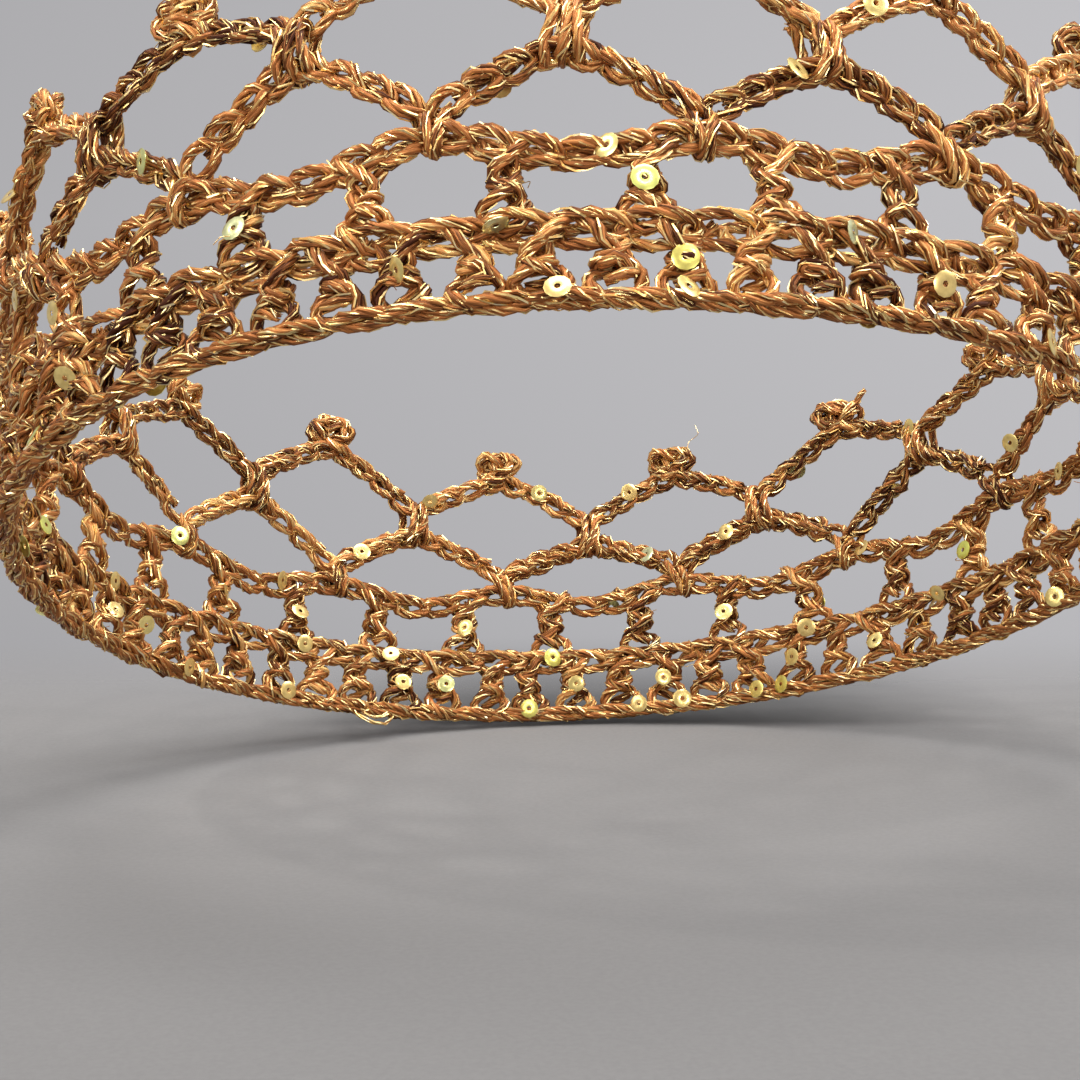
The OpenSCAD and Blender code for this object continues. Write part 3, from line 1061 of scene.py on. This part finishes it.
class CROWN_OT_materials(bpy.types.Operator):
    """Make the yarn, metal thread, sequin and sheet finishes"""

    bl_idname = "crown.materials"
    bl_label = "Finishes"

    def execute(self, context):
        finish = context.scene.crown_finish
        make_copper_fibre(finish)
        make_gold_thread(finish)
        make_sequin_film(finish)
        make_sheet(context.scene.crown_stage)
        return {"FINISHED"}


class CROWN_OT_stage(bpy.types.Operator):
    """Set the sheet, the lamps, the room and the camera"""

    bl_idname = "crown.stage"
    bl_label = "Stage"

    def execute(self, context):
        build_sheet()
        build_lights()
        build_surroundings()
        build_camera()
        return {"FINISHED"}


class CROWN_OT_edge(bpy.types.Operator):
    """Work the edge chain"""

    bl_idname = "crown.edge"
    bl_label = "Edge chain"

    def execute(self, context):
        build_foundation()
        return {"FINISHED"}


class CROWN_OT_round_one(bpy.types.Operator):
    """Work the posts of round one and their chain edge"""

    bl_idname = "crown.round_one"
    bl_label = "Round one"

    def execute(self, context):
        build_round_one()
        build_round_one_edge()
        return {"FINISHED"}


class CROWN_OT_mesh(bpy.types.Operator):
    """Work the open mesh and its chain edge"""

    bl_idname = "crown.mesh"
    bl_label = "Mesh"

    def execute(self, context):
        build_mesh_posts()
        build_mesh_edge()
        return {"FINISHED"}


class CROWN_OT_lower(bpy.types.Operator):
    """Work the tall stitches and the lower arches"""

    bl_idname = "crown.lower"
    bl_label = "Lower arches"

    def execute(self, context):
        build_tall_stitches()
        build_lower_arches()
        return {"FINISHED"}


class CROWN_OT_upper(bpy.types.Operator):
    """Work the saddle stitches and the upper arches"""

    bl_idname = "crown.upper"
    bl_label = "Upper arches"

    def execute(self, context):
        build_saddle_stitches()
        build_upper_arches()
        return {"FINISHED"}


class CROWN_OT_peaks(bpy.types.Operator):
    """Work the picot knots and the yarn tail"""

    bl_idname = "crown.peaks"
    bl_label = "Peaks"

    def execute(self, context):
        build_picots()
        build_tail()
        return {"FINISHED"}


class CROWN_OT_sequins(bpy.types.Operator):
    """Lay the sequins on the yarn"""

    bl_idname = "crown.sequins"
    bl_label = "Sequins"

    def execute(self, context):
        build_sequins()
        return {"FINISHED"}


class CROWN_PT_panel(bpy.types.Panel):
    """Lists the crown's steps and sizes"""

    bl_idname = "CROWN_PT_panel"
    bl_label = "Crocheted Crown"
    bl_space_type = "VIEW_3D"
    bl_region_type = "UI"
    bl_category = "Crown"

    def draw(self, context):
        for cls in CLASSES:
            if issubclass(cls, bpy.types.Operator):
                self.layout.operator(cls.bl_idname)
        for group in (context.scene.crown_yarn, context.scene.crown_finish, context.scene.crown_stage):
            box = self.layout.box()
            for name in group.__annotations__:
                box.prop(group, name)


CLASSES = (
    CrownYarn, CrownFinish, CrownStage, CROWN_OT_materials, CROWN_OT_stage, CROWN_OT_edge, CROWN_OT_round_one,
    CROWN_OT_mesh, CROWN_OT_lower, CROWN_OT_upper, CROWN_OT_peaks, CROWN_OT_sequins, CROWN_PT_panel,
)


def register():
    """Registers the classes and their settings."""
    for cls in CLASSES:
        bpy.utils.register_class(cls)
    bpy.types.Scene.crown_yarn = bpy.props.PointerProperty(type=CrownYarn)
    bpy.types.Scene.crown_finish = bpy.props.PointerProperty(type=CrownFinish)
    bpy.types.Scene.crown_stage = bpy.props.PointerProperty(type=CrownStage)


def unregister():
    """Removes the settings and the classes."""
    del bpy.types.Scene.crown_yarn
    del bpy.types.Scene.crown_finish
    del bpy.types.Scene.crown_stage
    for cls in reversed(CLASSES):
        bpy.utils.unregister_class(cls)


def main():
    """Works the whole crown."""
    register()
    bpy.ops.crown.materials()
    bpy.ops.crown.stage()
    bpy.ops.crown.edge()
    bpy.ops.crown.round_one()
    bpy.ops.crown.mesh()
    bpy.ops.crown.lower()
    bpy.ops.crown.upper()
    bpy.ops.crown.peaks()
    bpy.ops.crown.sequins()


if __name__ == "__main__":
    main()
